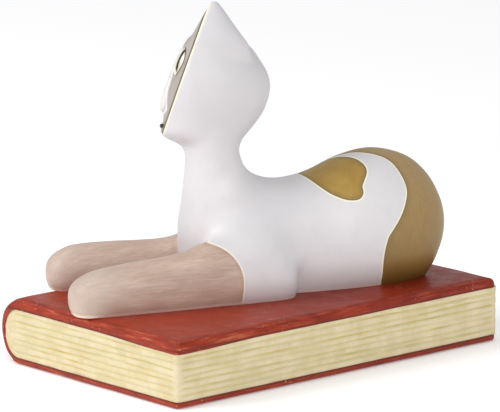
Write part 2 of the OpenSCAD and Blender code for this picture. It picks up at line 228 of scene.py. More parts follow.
# The rims are rolled down to a thin lip at the pages, further at the far end of the top board.
# The corners are rounded, and the foot's rim stands a little lower than the felt's bed.
near_corner, far_corner = 2.6, 4.5
least_roll, most_roll, far_end_rolls = 1.1, 4.2, 2.0
least_drop, most_drop, foot_rim, near_swell = 0.7, 3.9, 0.5, 0.9
moves = []
for v in cover.verts:
    found = board_at(v.co)
    push = sway(v.co, 19, 0.5) + sway(v.co + Vector((40, 7, 3)), 6, 0.25)
    far_end = v.co.y > 0
    from_long, from_end = fore_edge - v.co.x, book_long / 2 - abs(v.co.y)
    from_rim = min(from_long, from_end)
    near_rim = max(0.0, 1 - from_rim / 8)
    move = Vector((push.x * near_rim * 0.4, push.y * near_rim * 0.4, 0))
    corner = far_corner if far_end else near_corner
    if from_long < corner and from_end < corner:
        off = Vector((corner - from_long, math.copysign(corner - from_end, v.co.y), 0))
        if off.length > 0.001:
            move += off * (max(abs(off.x), abs(off.y)) / off.length - 1)
    if found:
        out, wall = found
        thick = gentle(2.2, 4.6, wall)
        roll = least_roll + (most_roll - least_roll) * thick
        roll_end = roll * (far_end_rolls if far_end and out.z > 0.9 else 1.0)
        reach = max(0.0, 1 - from_long / roll, 1 - from_end / roll_end)
        rounded = 1 - math.sqrt(1 - min(1.0, reach) ** 2)
        drop = (least_drop + (most_drop - least_drop) * thick) * rounded
        if out.z < -0.9:
            drop -= foot_rim * gentle(6.2, 3.6, from_rim)
        move -= out * (drop - push.z * near_rim * min(1, wall - 2) * 0.8 + 0.15 * near_rim)
    elif from_rim < 3 and v.co.z > pages_top - 0.01:
        # The lip of the top board hangs lower toward the near corner.
        near = gentle(60, 5, from_long) * gentle(50, 3, v.co.y + book_long / 2)
        move.z -= near_swell * near * gentle(3, 1, from_rim) + 0.25 * (push.z + 0.3)
    move.x -= 0.25 * max(0.0, 1 - from_long / 3)
    move.y -= math.copysign(0.25 * max(0.0, 1 - from_end / 3), v.co.y)
    moves.append(move)
for v, move in zip(cover.verts[:], moves):
    v.co += move
bmesh.ops.recalc_face_normals(cover, faces=cover.faces)
cover_mesh = bpy.data.meshes.new("book_cover_glazed")
cover.to_mesh(cover_mesh)
cover.free()


def rubbed(p):
    """How far a point is from the crest of its board's rolled rim, in millimetres."""
    return abs(min(fore_edge - p.x, book_long / 2 - abs(p.y)) - 1.3)


mark(cover_mesh, "rubbed", rubbed)
mark(cover_mesh, "lip", lambda p: min(abs(p.z - pages_top), abs(p.z - pages_low))
     + max(0.0, min(fore_edge - p.x, book_long / 2 - abs(p.y)) - 1))
mark(cover_mesh, "end_rim", lambda p: float(book_long / 2 - abs(p.y) < fore_edge - p.x))

cover_glaze, tree, finish = new_glaze("cover_glaze", 0.4, coat=0.04, coat_rough=0.25, specular=0.25)
place = along(tree)
broad = mottle(tree, place, 34, 3)
fine = mottle(tree, along(tree, stretch=(1, 0.35, 1)), 2.6, 5, 0.65)
down = step(tree, "ShaderNodeSeparateXYZ", out=1, in_0=place)
red = lay_over(tree, ramp(tree, broad, 0.35, 0.65), tint(140, 40, 18), tint(156, 52, 26))
red = lay_over(tree, ramp(tree, fine, 0.35, 0.7, 0, 0.5), red, tint(120, 33, 16))
# The red is painted lighter and more orange toward the near end: a painted sheen where the light falls.
red = lay_over(tree, ramp(tree, down, -10, -80, 0, 0.4), red, tint(176, 58, 28))
# Sponge marks follow each rim as dark drags. The crest is painted lighter, partly glaze pulled thin and
# partly a painted highlight, stronger toward the near end.
drags = lay_over(tree, measure(tree, "end_rim"),
                 mottle(tree, along(tree, stretch=(1, 0.1, 1)), 1.3, 4, 0.6),
                 mottle(tree, along(tree, stretch=(0.1, 1, 1)), 1.3, 4, 0.6))
by_rim = ramp(tree, measure(tree, "rubbed"), 1.2, 4.5, 1, 0)
red = lay_over(tree, times(tree, by_rim, ramp(tree, drags, 0.48, 0.62, 0, 0.5)), red, tint(100, 24, 12))
# Pale crest of each rim: a painted highlight over thin glaze, weighted toward the near end.
edge = times(tree, ramp(tree, measure(tree, "rubbed"), 0.3, 1.8, 1, 0), ramp(tree, drags, 0.44, 0.34))
red = lay_over(tree, times(tree, edge, ramp(tree, down, -50, 10, 0.6, 0.25)), red, tint(206, 122, 90))
# A dark brown line is painted along each lip where the board overhangs the pages: painted shade under
# the lip.
lip = ramp(tree, measure(tree, "lip"), 1.0, 0.5)
red = lay_over(tree, times(tree, lip, 0.75), red, tint(100, 34, 12))
pits = ramp(tree, mottle(tree, place, 0.9, 2), 0.68, 0.74)
specks = times(tree, pits, ramp(tree, mottle(tree, place, 20), 0.46, 0.56))
red = lay_over(tree, specks, red, tint(232, 190, 170))
tree.links.new(red, finish.inputs["Base Color"])
gloss = ramp(tree, mottle(tree, place, 9, 4, 0.6), 0.3, 0.7, 0.32, 0.5)
tree.links.new(gloss, finish.inputs["Roughness"])
relief = dent(tree, finish, mottle(tree, place, 7, 3), 0.25)
relief = dent(tree, finish, fine, 0.08, relief)
relief = dent(tree, finish, times(tree, by_rim, drags), 0.5, relief)
tree.links.new(relief, finish.inputs["Normal"])

piece = settle("book_cover_glazed", cover_mesh, cover_glaze, crisp=32)
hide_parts("book_cover")

# ---- Pages --------------------------------------------------------------------------------
# The page block is part of the same casting. The potter drew seven wavy grooves round its three
# free sides with a loop tool and washed yellow ochre into them over a cream glaze.

pages_inset, leaf_bundles, groove_deep, corner = 0.4, 8, 0.6, 2.2
end_face = book_long / 2 - pages_inset
long_face = fore_edge - pages_inset
spine_reach = spine_deep - bottom_board - 0.35
run_end = long_face - corner - (flat_from - spine_reach)
run_turn = corner * math.pi / 2
run_long = 2 * (end_face - corner)
run = 2 * run_end + 2 * run_turn + run_long
columns, levels = 300, 72


def round_the_pages(s):
    """A place s millimetres along the three sides of the block, and the way out from there."""
    if s < run_end:
        return Vector((flat_from - spine_reach + s, -end_face, 0)), Vector((0, -1, 0)), s
    s -= run_end
    if s < run_turn:
        a = s / corner
        out = Vector((math.sin(a), -math.cos(a), 0))
        return Vector((long_face - corner, -end_face + corner, 0)) + out * corner, out, 99
    s -= run_turn
    if s < run_long:
        return Vector((long_face, -end_face + corner + s, 0)), Vector((1, 0, 0)), 99
    s -= run_long
    if s < run_turn:
        a = s / corner
        out = Vector((math.cos(a), math.sin(a), 0))
        return Vector((long_face - corner, end_face - corner, 0)) + out * corner, out, 99
    s -= run_turn
    return Vector((long_face - corner - s, end_face, 0)), Vector((0, 1, 0)), run_end - s


def groove_at(s, h):
    """How deep the drawn grooves are at height h (in bundles) and place s: 0 none, 1 full."""
    corners = (run_end + run_turn / 2, run_end + 1.5 * run_turn + run_long)
    fade = min(1.0, min(abs(s - c) for c in corners) / 4.5)
    fade *= min(1.0, (s + 1) / 12, (run - s + 1) / 12)
    fade = fade * fade * (3 - 2 * fade)
    deepest = 0.0
    for k in range(1, leaf_bundles):
        wave = noise.noise(Vector((s / 34, k * 3.7, 0.5))) * 0.26 \
            + noise.noise(Vector((s / 9, k * 5.1, 9.5))) * 0.07
        strength = 0.78 + 0.4 * noise.noise(Vector((s / 17, k * 7.3, 4.5)))
        away = (h - k - wave) / 0.19
        deepest = max(deepest, strength * math.exp(-away * away))
    return min(1.0, deepest) * fade


pages = bmesh.new()
bmesh.ops.create_grid(pages, x_segments=columns, y_segments=levels, size=0.5)
washed = pages.verts.layers.float.new("washed")
half_high = (pages_top - pages_low) / 2
for v in pages.verts:
    s, h = (v.co.x + 0.5) * run, (v.co.y + 0.5) * leaf_bundles
    spot, out, from_spine = round_the_pages(min(s, run - 0.001))
    round_in = 1.0
    if from_spine < spine_reach:
        part = (spine_reach - from_spine) / (spine_deep - bottom_board)
        round_in = math.sqrt(max(0.0, 1 - part * part))
    groove = groove_at(s, h)
    bow = 0.16 * noise.noise(Vector((s / 9, h * 1.4, 2.5)))
    spot = spot - out * (groove * groove_deep + 0.22 + bow)
    spot.z = inner_middle + (v.co.y * 2) * (half_high + 0.15) * round_in
    v.co = spot
    v[washed] = groove
bmesh.ops.recalc_face_normals(pages, faces=pages.faces)
if sum(f.normal.x * f.calc_area() for f in pages.faces) < 0:
    bmesh.ops.reverse_faces(pages, faces=pages.faces)
bmesh.ops.solidify(pages, geom=pages.faces[:], thickness=3.0)

pages_glaze, tree, finish = new_glaze("pages_glaze", 0.42, coat=0.1, coat_rough=0.25)
place = along(tree)
cream = lay_over(tree, ramp(tree, mottle(tree, place, 9, 4, 0.6), 0.35, 0.65),
                 tint(220, 206, 170), tint(208, 193, 150))
wash = measure(tree, "washed")
patchy = ramp(tree, mottle(tree, along(tree, stretch=(0.35, 0.35, 1.6)), 4.5, 3, 0.6), 0.36, 0.66)
cream = lay_over(tree, ramp(tree, wash, 0.08, 0.75, 0, 0.62), cream, tint(208, 192, 130))
cream = lay_over(tree, times(tree, ramp(tree, wash, 0.3, 0.95), patchy), cream, tint(196, 172, 98))
green = ramp(tree, mottle(tree, along(tree, stretch=(0.2, 0.2, 1.6)), 3.2, 3, 0.6), 0.48, 0.72)
cream = lay_over(tree, times(tree, ramp(tree, wash, 0.02, 0.5, 0, 0.5), green), cream,
                 tint(190, 192, 158))
tree.links.new(cream, finish.inputs["Base Color"])
relief = dent(tree, finish, mottle(tree, place, 1.6, 4, 0.6), 0.1)
tree.links.new(relief, finish.inputs["Normal"])

piece = settle("pages_washed", pages, pages_glaze, crisp=60)
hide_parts("page_block")

# ---- Felt ---------------------------------------------------------------------------------
# A sheet of dark wool felt is glued under the book so that it doesn't scratch the furniture.
# It is cut a little inside the boards, with round corners and a slightly crushed rim.

felt_wide, felt_long, felt_corner = 100.0, 168.4, 5.0


def soften(clay, chosen, width, segments):
    """Rounds the chosen edges of a block."""
    bmesh.ops.bevel(clay, geom=[e for e in clay.edges if chosen(*[v.co for v in e.verts])],
                    offset=width, segments=segments, affect="EDGES", profile=0.5, material=-1)


sheet = bmesh.new()
bmesh.ops.create_cube(sheet, size=1, matrix=Matrix.Translation((0, 0, felt / 2))
                      @ Matrix.Diagonal((felt_wide, felt_long, felt, 1)))
soften(sheet, lambda a, b: abs(a.z - b.z) > 0.1, felt_corner, 6)
soften(sheet, lambda a, b: max(a.z, b.z) < 0.1, 0.25, 2)
felt_pile, tree, finish = new_glaze("felt_pile", 0.95, specular=0.15)
place = along(tree)
wool = mottle(tree, place, 0.7, 5, 0.7)
grey = lay_over(tree, ramp(tree, wool, 0.3, 0.75), tint(52, 50, 48), tint(86, 83, 80))
tree.links.new(grey, finish.inputs["Base Color"])
finish.inputs["Sheen Weight"].default_value = 0.4
tree.links.new(dent(tree, finish, wool, 0.2), finish.inputs["Normal"])
piece = settle("felt_sheet", sheet, felt_pile)
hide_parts("felt_base")

# ---- The cast form of the cat -------------------------------------------------------------
# The whole cat is modelled as one soft clay form, lying along its own axis: X toward the tail
# end, Y toward its right flank, Z up from the book. The pieces below are cut from this form.

cat_turn = 69.5
on_book = Matrix.Translation((0, -1.2, deck)) @ Matrix.Rotation(math.radians(cat_turn), 4, "Z")
on_neck = (Matrix.Translation((-16.5, 0, 60)) @ Matrix.Rotation(math.radians(-21.1), 4, "Z")
           @ Matrix.Rotation(math.radians(-12), 4, "X"))


def smooth_run(rows, steps):
    """Given stations drawn out to a smooth run of sections."""
    run = []
    for i in range(len(rows) - 1):
        four = (rows[max(i - 1, 0)], rows[i], rows[i + 1], rows[min(i + 2, len(rows) - 1)])
        for k in range(steps):
            u = k / steps
            run.append([0.5 * (2 * b + (c - a) * u + (2 * a - 5 * b + 4 * c - d) * u * u
                               + (3 * b - a - 3 * c + d) * u ** 3) for a, b, c, d in zip(*four)])
    return run + [list(rows[-1])]


def loft(sections, shape, place=Matrix.Identity(4), corners=72):
    """A closed skin over rings; shape turns a point of a unit circle into a point of a section."""
    clay = bmesh.new()
    rings = []
    for section in sections:
        ring = bmesh.ops.create_circle(clay, segments=corners, radius=1)["verts"]
        rings.append(list(dict.fromkeys(e for v in ring for e in v.link_edges)))
        for v in ring:
            v.co = place @ Vector(shape(section, v.co.x, v.co.y))
    for low, high in zip(rings, rings[1:]):
        bmesh.ops.bridge_loops(clay, edges=low + high)
    bmesh.ops.holes_fill(clay, edges=[e for e in clay.edges if e.is_boundary], sides=0)
    bmesh.ops.recalc_face_normals(clay, faces=clay.faces)
    return clay


def sponge(clay, points, rounds):
    """Draws points toward their neighbours, as wiping with a wet sponge does."""
    for _ in range(rounds):
        bmesh.ops.smooth_vert(clay, verts=points, factor=0.5, use_axis_x=True, use_axis_y=True,
                              use_axis_z=True)


def full(v, power):
    return math.copysign(abs(v) ** power, v)


def as_mesh(clay, name="clay"):
    mesh = bpy.data.meshes.new(name)
    clay.to_mesh(mesh)
    clay.free()
    return mesh


def worked(mesh, kind, **settings):
    """The mesh that is left when one modifier has worked on it."""
    block = bpy.data.objects.new("block", mesh)
    bpy.context.scene.collection.objects.link(block)
    tool = block.modifiers.new("tool", kind)
    for key, value in settings.items():
        setattr(tool, key, value)
    result = bpy.data.meshes.new_from_object(
        block.evaluated_get(bpy.context.evaluated_depsgraph_get()))
    bpy.data.objects.remove(block)
    return result


def cut(mesh, knife, how="DIFFERENCE"):
    """Cuts one closed mesh with another: DIFFERENCE, INTERSECT or UNION."""
    blade = bpy.data.objects.new("blade", knife)
    bpy.context.scene.collection.objects.link(blade)
    left = worked(mesh, "BOOLEAN", object=blade, operation=how, solver="MANIFOLD")
    bpy.data.objects.remove(blade)
    return left


# Body stations from the rump to the neck: top point, bottom point, half width.
body_rows = [
    [87.2, 24.0, 87.0, 20.0, 1.0], [86.4, 30.0, 85.2, 12.5, 8.0], [84.0, 36.8, 81.8, 5.0, 13.5],
    [78.6, 45.2, 76.6, -2.5, 19.0], [70.0, 52.0, 68.6, -6.0, 23.5], [56.0, 55.6, 56.0, -9.0, 26.0],
    [42.0, 53.3, 42.0, -11.0, 26.5], [28.0, 47.8, 28.0, -12.0, 25.5],
    [16.0, 45.6, 12.0, -12.0, 24.5], [7.0, 46.4, -4.0, -10.0, 23.0],
    [0.2, 49.2, -18.0, -4.0, 21.5], [-3.9, 53.4, -28.0, 6.0, 19.5],
    [-5.6, 58.0, -31.6, 22.0, 16.0], [-6.0, 61.5, -30.5, 36.0, 13.2],
    [-5.8, 65.0, -29.0, 49.0, 12.0], [-5.4, 70.0, -28.4, 60.0, 11.6],
    [-5.4, 76.0, -28.3, 74.0, 11.6]]


def body_point(row, x, y):
    top, low = Vector((row[0], 0, row[1])), Vector((row[2], 0, row[3]))
    return (top + low) / 2 + (top - low) / 2 * x + Vector((0, row[4] * y, 0))


# Foreleg stations from the paw to the elbow: place, middle, half width, top, bottom.
leg_rows = [
    [-89.4, 25.2, 1.0, 8.0, 6.0], [-88.8, 25.2, 4.6, 11.2, 2.0], [-87.0, 25.2, 7.6, 13.6, -1.0],
    [-83.6, 25.2, 9.5, 15.9, -3.0], [-77.0, 25.2, 10.4, 18.2, -3.5],
    [-62.0, 25.2, 10.4, 20.2, -3.5], [-48.0, 25.2, 10.3, 21.4, -3.5],
    [-38.0, 25.0, 10.4, 22.9, -3.5], [-28.0, 24.4, 10.6, 26.6, -3.5],
    [-14.0, 23.9, 11.3, 29.5, -3.5], [-3.0, 23.4, 11.3, 30.5, -3.5], [5.0, 22.4, 10.8, 26.5, -3.5],
    [9.4, 20.6, 9.0, 20.0, -3.0], [12.0, 18.4, 6.0, 14.0, -1.0], [13.0, 18.0, 1.0, 8.0, 4.0]]
# The right foreleg lies a little further back, lower, and turned inward.
leg_place = {-1: Matrix.Identity(4),
             1: Matrix.Translation((-77.1, 25, 0)) @ Matrix.Rotation(math.radians(-7), 4, "Z")
             @ Matrix.Translation((84, -25, 0))}


def foreleg_form(side, grow=0.0):
    rows = [r if side < 0 else r[:3] + [r[3] - max(0, r[0] + 76) * 0.095, r[4]] for r in leg_rows]

    def leg_point(row, x, y):
        middle, half = (row[3] + row[4]) / 2, (row[3] - row[4]) / 2
        return (row[0] - (grow if row[0] < -85 else 0),
                side * row[1] + (row[2] + grow) * full(y, 0.9), middle + (half + grow) * full(x, 0.9))
    return loft(smooth_run(rows, 5), leg_point, leg_place[side], 56)


# Skull stations: height, front, widest place, back, half width.
skull_rows = [
    [-1.5, -12.3, -0.8, 10.4, 11.6], [0.5, -12.8, -1.0, 10.7, 11.8], [2.6, -15.2, -1.5, 11.3, 12.2],
    [4.6, -19.4, -2.5, 12.2, 12.8], [7.5, -22.6, -4.0, 14.6, 13.7],
    [12.6, -21.5, -5.0, 18.7, 15.4], [17.6, -21.3, -6.0, 21.6, 17.0],
    [22.7, -20.8, -7.0, 23.3, 18.0], [27.7, -19.2, -8.0, 23.8, 18.6],
    [32.8, -17.4, -8.8, 22.5, 18.6], [37.8, -15.2, -8.5, 19.5, 18.0],
    [42.8, -13.4, -7.0, 16.0, 17.2], [46.3, -11.6, -5.0, 11.5, 12.5], [48.6, -9.0, -3.0, 5.0, 7.0],
    [49.4, -4.0, -2.5, -1.0, 1.0]]
# Ear stations: height, front, widest place, back, half width, and the middle, out from the centre.
ear_rows = [
    [30.0, -6.0, 0.0, 10.0, 3.0, 6.0], [36.0, -9.0, -3.0, 16.0, 7.0, 8.0],
    [42.8, -12.2, -5.0, 15.4, 7.0, 10.4], [47.9, -9.3, -4.5, 11.9, 6.6, 11.4],
    [52.9, -6.4, -3.0, 8.3, 5.4, 12.2], [58.0, -3.5, -1.0, 4.8, 3.4, 12.8],
    [60.6, -1.9, 0.0, 2.8, 2.2, 13.0], [61.9, -0.7, 0.2, 1.5, 1.1, 13.0]]


def skull_point(row, x, y, keen=1.12, side=0):
    deep = row[2] + (row[3] - row[2]) * x if x > 0 else row[2] - (row[2] - row[1]) * (-x) ** keen
    return (deep, (side * row[5] if side else 0) + row[4] * y, row[0])


form = bmesh.new()
for lump in (loft(smooth_run(body_rows, 6), body_point, corners=96),
             foreleg_form(-1), foreleg_form(1),
             loft(smooth_run(skull_rows, 6), skull_point, on_neck, 96),
             loft(smooth_run(ear_rows, 5), lambda r, x, y: skull_point(r, x, y, 1, -1), on_neck, 48),
             loft(smooth_run(ear_rows, 5), lambda r, x, y: skull_point(r, x, y, 1, 1), on_neck, 48)):
    form.from_mesh(as_mesh(lump))
cast = worked(as_mesh(form), "REMESH", mode="VOXEL", voxel_size=0.8)
form = bmesh.new()
form.from_mesh(cast)
sponge(form, form.verts, 5)
# The hollow between each shoulder and the flank was filled and wiped smooth with a wet sponge,
# fully above and less and less toward the book, where a crease is left behind the elbow.
wiped = [v for v in form.verts if -38 < v.co.x < 40 and 4 < v.co.z < 46 and abs(v.co.y) > 8]
before = {v: v.co.copy() for v in wiped}
sponge(form, wiped, 420)
for v in wiped:
    start = before[v]
    share = gentle(6, 19, start.z) * gentle(46, 36, start.z) * gentle(-34, -18, start.x) \
        * gentle(38, 24, start.x) * gentle(9, 14, abs(start.y))
    v.co = start.lerp(v.co, share)
sponge(form, wiped, 6)
bmesh.ops.bisect_plane(form, geom=form.verts[:] + form.edges[:] + form.faces[:], dist=0.0001,
                       plane_co=(0, 0, 0), plane_no=(0, 0, 1), clear_inner=True)
bmesh.ops.holes_fill(form, edges=[e for e in form.edges if e.is_boundary], sides=0)
bmesh.ops.triangulate(form, faces=[f for f in form.faces if len(f.verts) > 4])
cast = as_mesh(form, "cast")

# ---- Body ---------------------------------------------------------------------------------
# A hollow slip casting, from the rump to the neck, in satin white glaze.
# A golden heart and a golden-brown rump are brushed on, each with a dark edge and a cream line.

arch_x, arch_z, arch_long, arch_high = -31.0, 10.0, 15.4, 16.8
far = 300.0


def block(low, high, place=Matrix.Identity(4)):
    """A plain box between two corners, used as a knife."""
    clay = bmesh.new()
    size = Vector(high) - Vector(low)
    middle = Matrix.Translation((Vector(low) + Vector(high)) / 2)
    bmesh.ops.create_cube(clay, size=1, matrix=place @ middle @ Matrix.Diagonal((*size, 1)))
    return as_mesh(clay)


def arch_knife(side):
    """The shoulder arch over a foreleg and everything in front of it."""
    barrel = bmesh.new()
    bmesh.ops.create_cone(barrel, cap_ends=True, segments=128, radius1=1, radius2=1, depth=2 * far,
                          matrix=leg_place[side] @ Matrix.Translation((arch_x, 0, arch_z))
                          @ Matrix.Diagonal((arch_long, 1, arch_high, 1))
                          @ Matrix.Rotation(math.pi / 2, 4, "X"))
    front = block((arch_x - far, -far, -far), (arch_x, far, far), leg_place[side])
    under = block((arch_x - 1, -far, -far), (arch_x + arch_long, far, arch_z), leg_place[side])
    return cut(cut(front, under, "UNION"), as_mesh(barrel), "UNION")


leg_knife = {side: cut(as_mesh(foreleg_form(side, 0.7)), arch_knife(side), "INTERSECT")
             for side in (-1, 1)}
head_knife = block((-45, -40, -1.5), (30, 40, 80), on_neck)
body = cut(cut(cut(cast, leg_knife[-1]), leg_knife[1]), head_knife)

# Round the body the place is given as how far along and the angle up from the left flank.
axis_high = 22.0
heart_outline = [(22.5, 96), (23.5, 80), (25.5, 65), (29, 51), (33.5, 41.5), (37.5, 37.5),
                 (41, 37.5), (43, 42), (43.2, 48), (44.6, 53), (46.8, 60), (47, 67), (45, 77),
                 (41, 88), (37, 98), (32, 103), (27, 103)]
rump_edge = [(-90, 52.5), (-49, 52), (-20, 51), (-2, 52.3), (6, 54.6), (18, 58.6), (31, 61.7),
             (42, 63.2), (53, 62.5), (65, 60.3), (72, 57.5), (77, 54), (82, 50.5), (89, 46.2),
             (97, 40), (103, 34), (110, 30), (118, 28.5), (130, 29.5), (145, 34), (165, 42),
             (190, 48), (230, 52), (270, 52.5)]
heart_line = smooth_run(heart_outline + heart_outline[:1], 5)[:-1]
heart_line = [Vector((t, math.radians(a) * 27)) for t, a in heart_line]
rump_line = smooth_run([[a, t] for a, t in rump_edge], 6)


def round_body(p):
    angle = math.degrees(math.atan2(p.z - axis_high, -p.y))
    return p.x, angle if angle > -90 else angle + 360


def inside_heart(p):
    """Millimetres inside the heart's outline, less than nothing outside it."""
    t, angle = round_body(p)
    if not (14 < t < 56 and 15 < angle < 125):
        return -9.0
    spot = Vector((t, math.radians(angle) * 27))
    nearest, inside = 99.0, False
    for a, b in zip(heart_line, heart_line[1:] + heart_line[:1]):
        along_side = b - a
        share = max(0.0, min(1.0, (spot - a).dot(along_side) / along_side.length_squared))
        nearest = min(nearest, (spot - a - along_side * share).length)
        if (a.y > spot.y) != (b.y > spot.y) and \
                spot.x < a.x + (spot.y - a.y) / (b.y - a.y) * (b.x - a.x):
            inside = not inside
    return nearest if inside else -nearest


def inside_rump(p):
    """Millimetres behind the edge of the brown rump."""
    t, angle = round_body(p)
    reach = max(8.0, math.hypot(p.y, p.z - axis_high))
    for (a0, t0), (a1, t1) in zip(rump_line, rump_line[1:]):
        if a0 <= angle <= a1:
            slope = (t1 - t0) / max(0.001, math.radians(a1 - a0) * reach)
            edge = t0 + (t1 - t0) * (angle - a0) / (a1 - a0)
            return max(-12.0, min(60.0, (t - edge) / math.hypot(1, slope)))
    return -12.0


mark(body, "heart", inside_heart)
mark(body, "rump", inside_rump)


def white_glaze_coat(tree):
    """Cool satin white with the faint clouds of a poured glaze, painted greyer high up as painted shade
    on the neck and head.
    """
    place = along(tree)
    white = lay_over(tree, ramp(tree, mottle(tree, place, 30, 2), 0.35, 0.7),
                     tint(219, 216, 217), tint(213, 210, 212))
    white = lay_over(tree, ramp(tree, mottle(tree, place, 6, 4, 0.6), 0.45, 0.8, 0, 0.35), white,
                     tint(205, 202, 204))
    high = step(tree, "ShaderNodeSeparateXYZ", out=2, in_0=place)
    # Greyer from the neck up: painted shade.
    return lay_over(tree, ramp(tree, high, deck + 44, deck + 82, 0, 0.5), white, tint(198, 195, 197))


body_glaze, tree, finish = new_glaze("body_glaze", 0.44, coat=0.06, coat_rough=0.35, specular=0.35)
white = white_glaze_coat(tree)
high = step(tree, "ShaderNodeSeparateXYZ", out=2, in_0=along(tree, cat_turn))
heart, rump = measure(tree, "heart"), measure(tree, "rump")
strokes = mottle(tree, along(tree, cat_turn, (1.2, 1.6, 0.2)), 1.3, 5, 0.7)
dabs = mottle(tree, along(tree, cat_turn), 7, 3, 0.6)
gold = lay_over(tree, ramp(tree, dabs, 0.3, 0.7), tint(174, 142, 72), tint(162, 128, 58))
gold = lay_over(tree, ramp(tree, heart, 0.2, 2.4, 0.6, 0), gold, tint(132, 110, 62))
# The brown is painted lighter high up and darker toward the book, darkest in the lowest band: painted
# shade on the lower flank.
brown = lay_over(tree, ramp(tree, high, deck + 2, deck + 52), tint(138, 108, 56), tint(170, 142, 96))
brown = lay_over(tree, ramp(tree, strokes, 0.35, 0.75, 0, 0.32), brown, tint(118, 92, 52))
brown = lay_over(tree, ramp(tree, high, deck + 1, deck + 14, 0.7, 0), brown, tint(104, 78, 26))
brown = lay_over(tree, ramp(tree, rump, 0.2, 3.0, 0.45, 0), brown, tint(126, 104, 62))
coat = lay_over(tree, ramp(tree, rump, -1.0, -0.55), white, tint(244, 236, 208))
coat = lay_over(tree, ramp(tree, rump, -0.22, -0.02), coat, tint(112, 102, 78))
coat = lay_over(tree, ramp(tree, rump, 0.18, 0.42), coat, brown)
coat = lay_over(tree, ramp(tree, heart, -1.0, -0.55), coat, tint(244, 236, 208))
coat = lay_over(tree, ramp(tree, heart, -0.22, -0.02), coat, tint(104, 100, 82))
coat = lay_over(tree, ramp(tree, heart, 0.18, 0.42), coat, gold)
foot = times(tree, ramp(tree, high, deck + 1.5, deck + 0.6, 0, 0.85), ramp(tree, rump, 0.5, 0))
coat = lay_over(tree, foot, coat, tint(238, 222, 216))
tree.links.new(coat, finish.inputs["Base Color"])
relief = dent(tree, finish, mottle(tree, along(tree), 11, 2), 0.12)
tree.links.new(relief, finish.inputs["Normal"])

piece = settle("body_casting", body, body_glaze, on_book)
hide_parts("cat_body")

# ---- Forelegs -----------------------------------------------------------------------------
# Two stretched forelegs, let into the chest under a rounded shoulder.
# The taupe was dry-brushed lengthwise over cream, so fine streaks run from paw to shoulder.

leg_glaze, tree, finish = new_glaze("leg_glaze", 0.5, coat=0.06, coat_rough=0.3, specular=0.35)
streaks = mottle(tree, along(tree, cat_turn, (0.1, 1, 1)), 0.8, 6, 0.75)
broad = mottle(tree, along(tree, cat_turn, (0.3, 1, 1)), 6, 4, 0.6)
taupe = lay_over(tree, ramp(tree, broad, 0.3, 0.7), tint(188, 163, 147), tint(204, 182, 166))
taupe = lay_over(tree, ramp(tree, streaks, 0.4, 0.7, 0, 0.55), taupe, tint(172, 145, 127))
taupe = lay_over(tree, ramp(tree, streaks, 0.46, 0.28, 0, 0.45), taupe, tint(222, 205, 190))
# The taupe is painted paler and greyer toward the paws: a painted highlight on the paw tips.
paw_highlight = ramp(tree, step(tree, "ShaderNodeSeparateXYZ", in_0=along(tree, cat_turn)), -60, -86, 0, 0.45)
taupe = lay_over(tree, paw_highlight, taupe, tint(196, 180, 168))
seam = measure(tree, "seam")
taupe = lay_over(tree, ramp(tree, seam, 2.6, 0.4, 0, 0.45), taupe, tint(164, 132, 108))
taupe = lay_over(tree, ramp(tree, seam, 0.85, 0.45), taupe, tint(240, 232, 222))
high = step(tree, "ShaderNodeSeparateXYZ", out=2, in_0=along(tree))
taupe = lay_over(tree, ramp(tree, high, deck + 1.7, deck + 0.7, 0, 0.9), taupe, tint(238, 212, 200))
tree.links.new(taupe, finish.inputs["Base Color"])
relief = dent(tree, finish, streaks, 0.04)
tree.links.new(relief, finish.inputs["Normal"])


def inside_arch(side):
    back = leg_place[side].inverted()

    def inside(p):
        q = back @ p
        if q.z < arch_z:
            return min(9.0, arch_x + arch_long - q.x)
        reach = math.hypot((q.x - arch_x) / arch_long, (q.z - arch_z) / arch_high)
        return 9.0 if q.x < arch_x else min(9.0, (1 - reach) * (arch_long + arch_high) / 2)
    return inside


for side, name in ((-1, "left_foreleg"), (1, "right_foreleg")):
    leg = cut(cast, leg_knife[side], "INTERSECT")
    mark(leg, "seam", inside_arch(side))
    piece = settle(name + "_brushed", leg, leg_glaze, on_book)
    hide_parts(name)

# ---- Head ---------------------------------------------------------------------------------
# The back of the head and the ears are one hollow casting in the body's white glaze.
# Its rim, where the face is set in, is picked out with a cream line.

rim_foot, rim_lean = -23.7, math.radians(19.8)
rim_out = Vector((-math.cos(rim_lean), 0, math.sin(rim_lean)))
into_head = on_neck.inverted()


def before_rim(p):
    """Millimetres in front of the plane where the face is set in."""
    return (into_head @ p - Vector((rim_foot, 0, 0))).dot(rim_out)


face_knife = block((-far, -far, -far), (0, far, far),
                   on_neck @ Matrix.Translation((rim_foot, 0, 0)) @ Matrix.Rotation(rim_lean, 4, "Y"))
whole_head = cut(cast, head_knife, "INTERSECT")
hood = cut(whole_head, face_knife)
mark(hood, "rim", lambda p: -before_rim(p))
hood_glaze, tree, finish = new_glaze("hood_glaze", 0.44, coat=0.06, coat_rough=0.35, specular=0.35)
white = white_glaze_coat(tree)
rim = measure(tree, "rim")
white = lay_over(tree, ramp(tree, rim, 1.0, 0.45, 0, 0.9), white, tint(236, 226, 202))
tree.links.new(white, finish.inputs["Base Color"])
relief = dent(tree, finish, mottle(tree, along(tree), 11, 2), 0.12)
tree.links.new(relief, finish.inputs["Normal"])
piece = settle("head_casting", hood, hood_glaze, on_book)
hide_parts("head")

# ---- Face ---------------------------------------------------------------------------------
# The face is a keeled plate set into the rim, a hair below it, glazed a warm beige.
# A white blaze runs down its middle, and dark brown was rubbed into the joint.

face = bmesh.new()
face.from_mesh(cut(whole_head, face_knife, "INTERSECT"))
face.normal_update()
for v in face.verts:
    if before_rim(v.co) > 0.05:
        v.co -= v.normal * 0.3
face_mesh = as_mesh(face)
mark(face_mesh, "rim", before_rim)


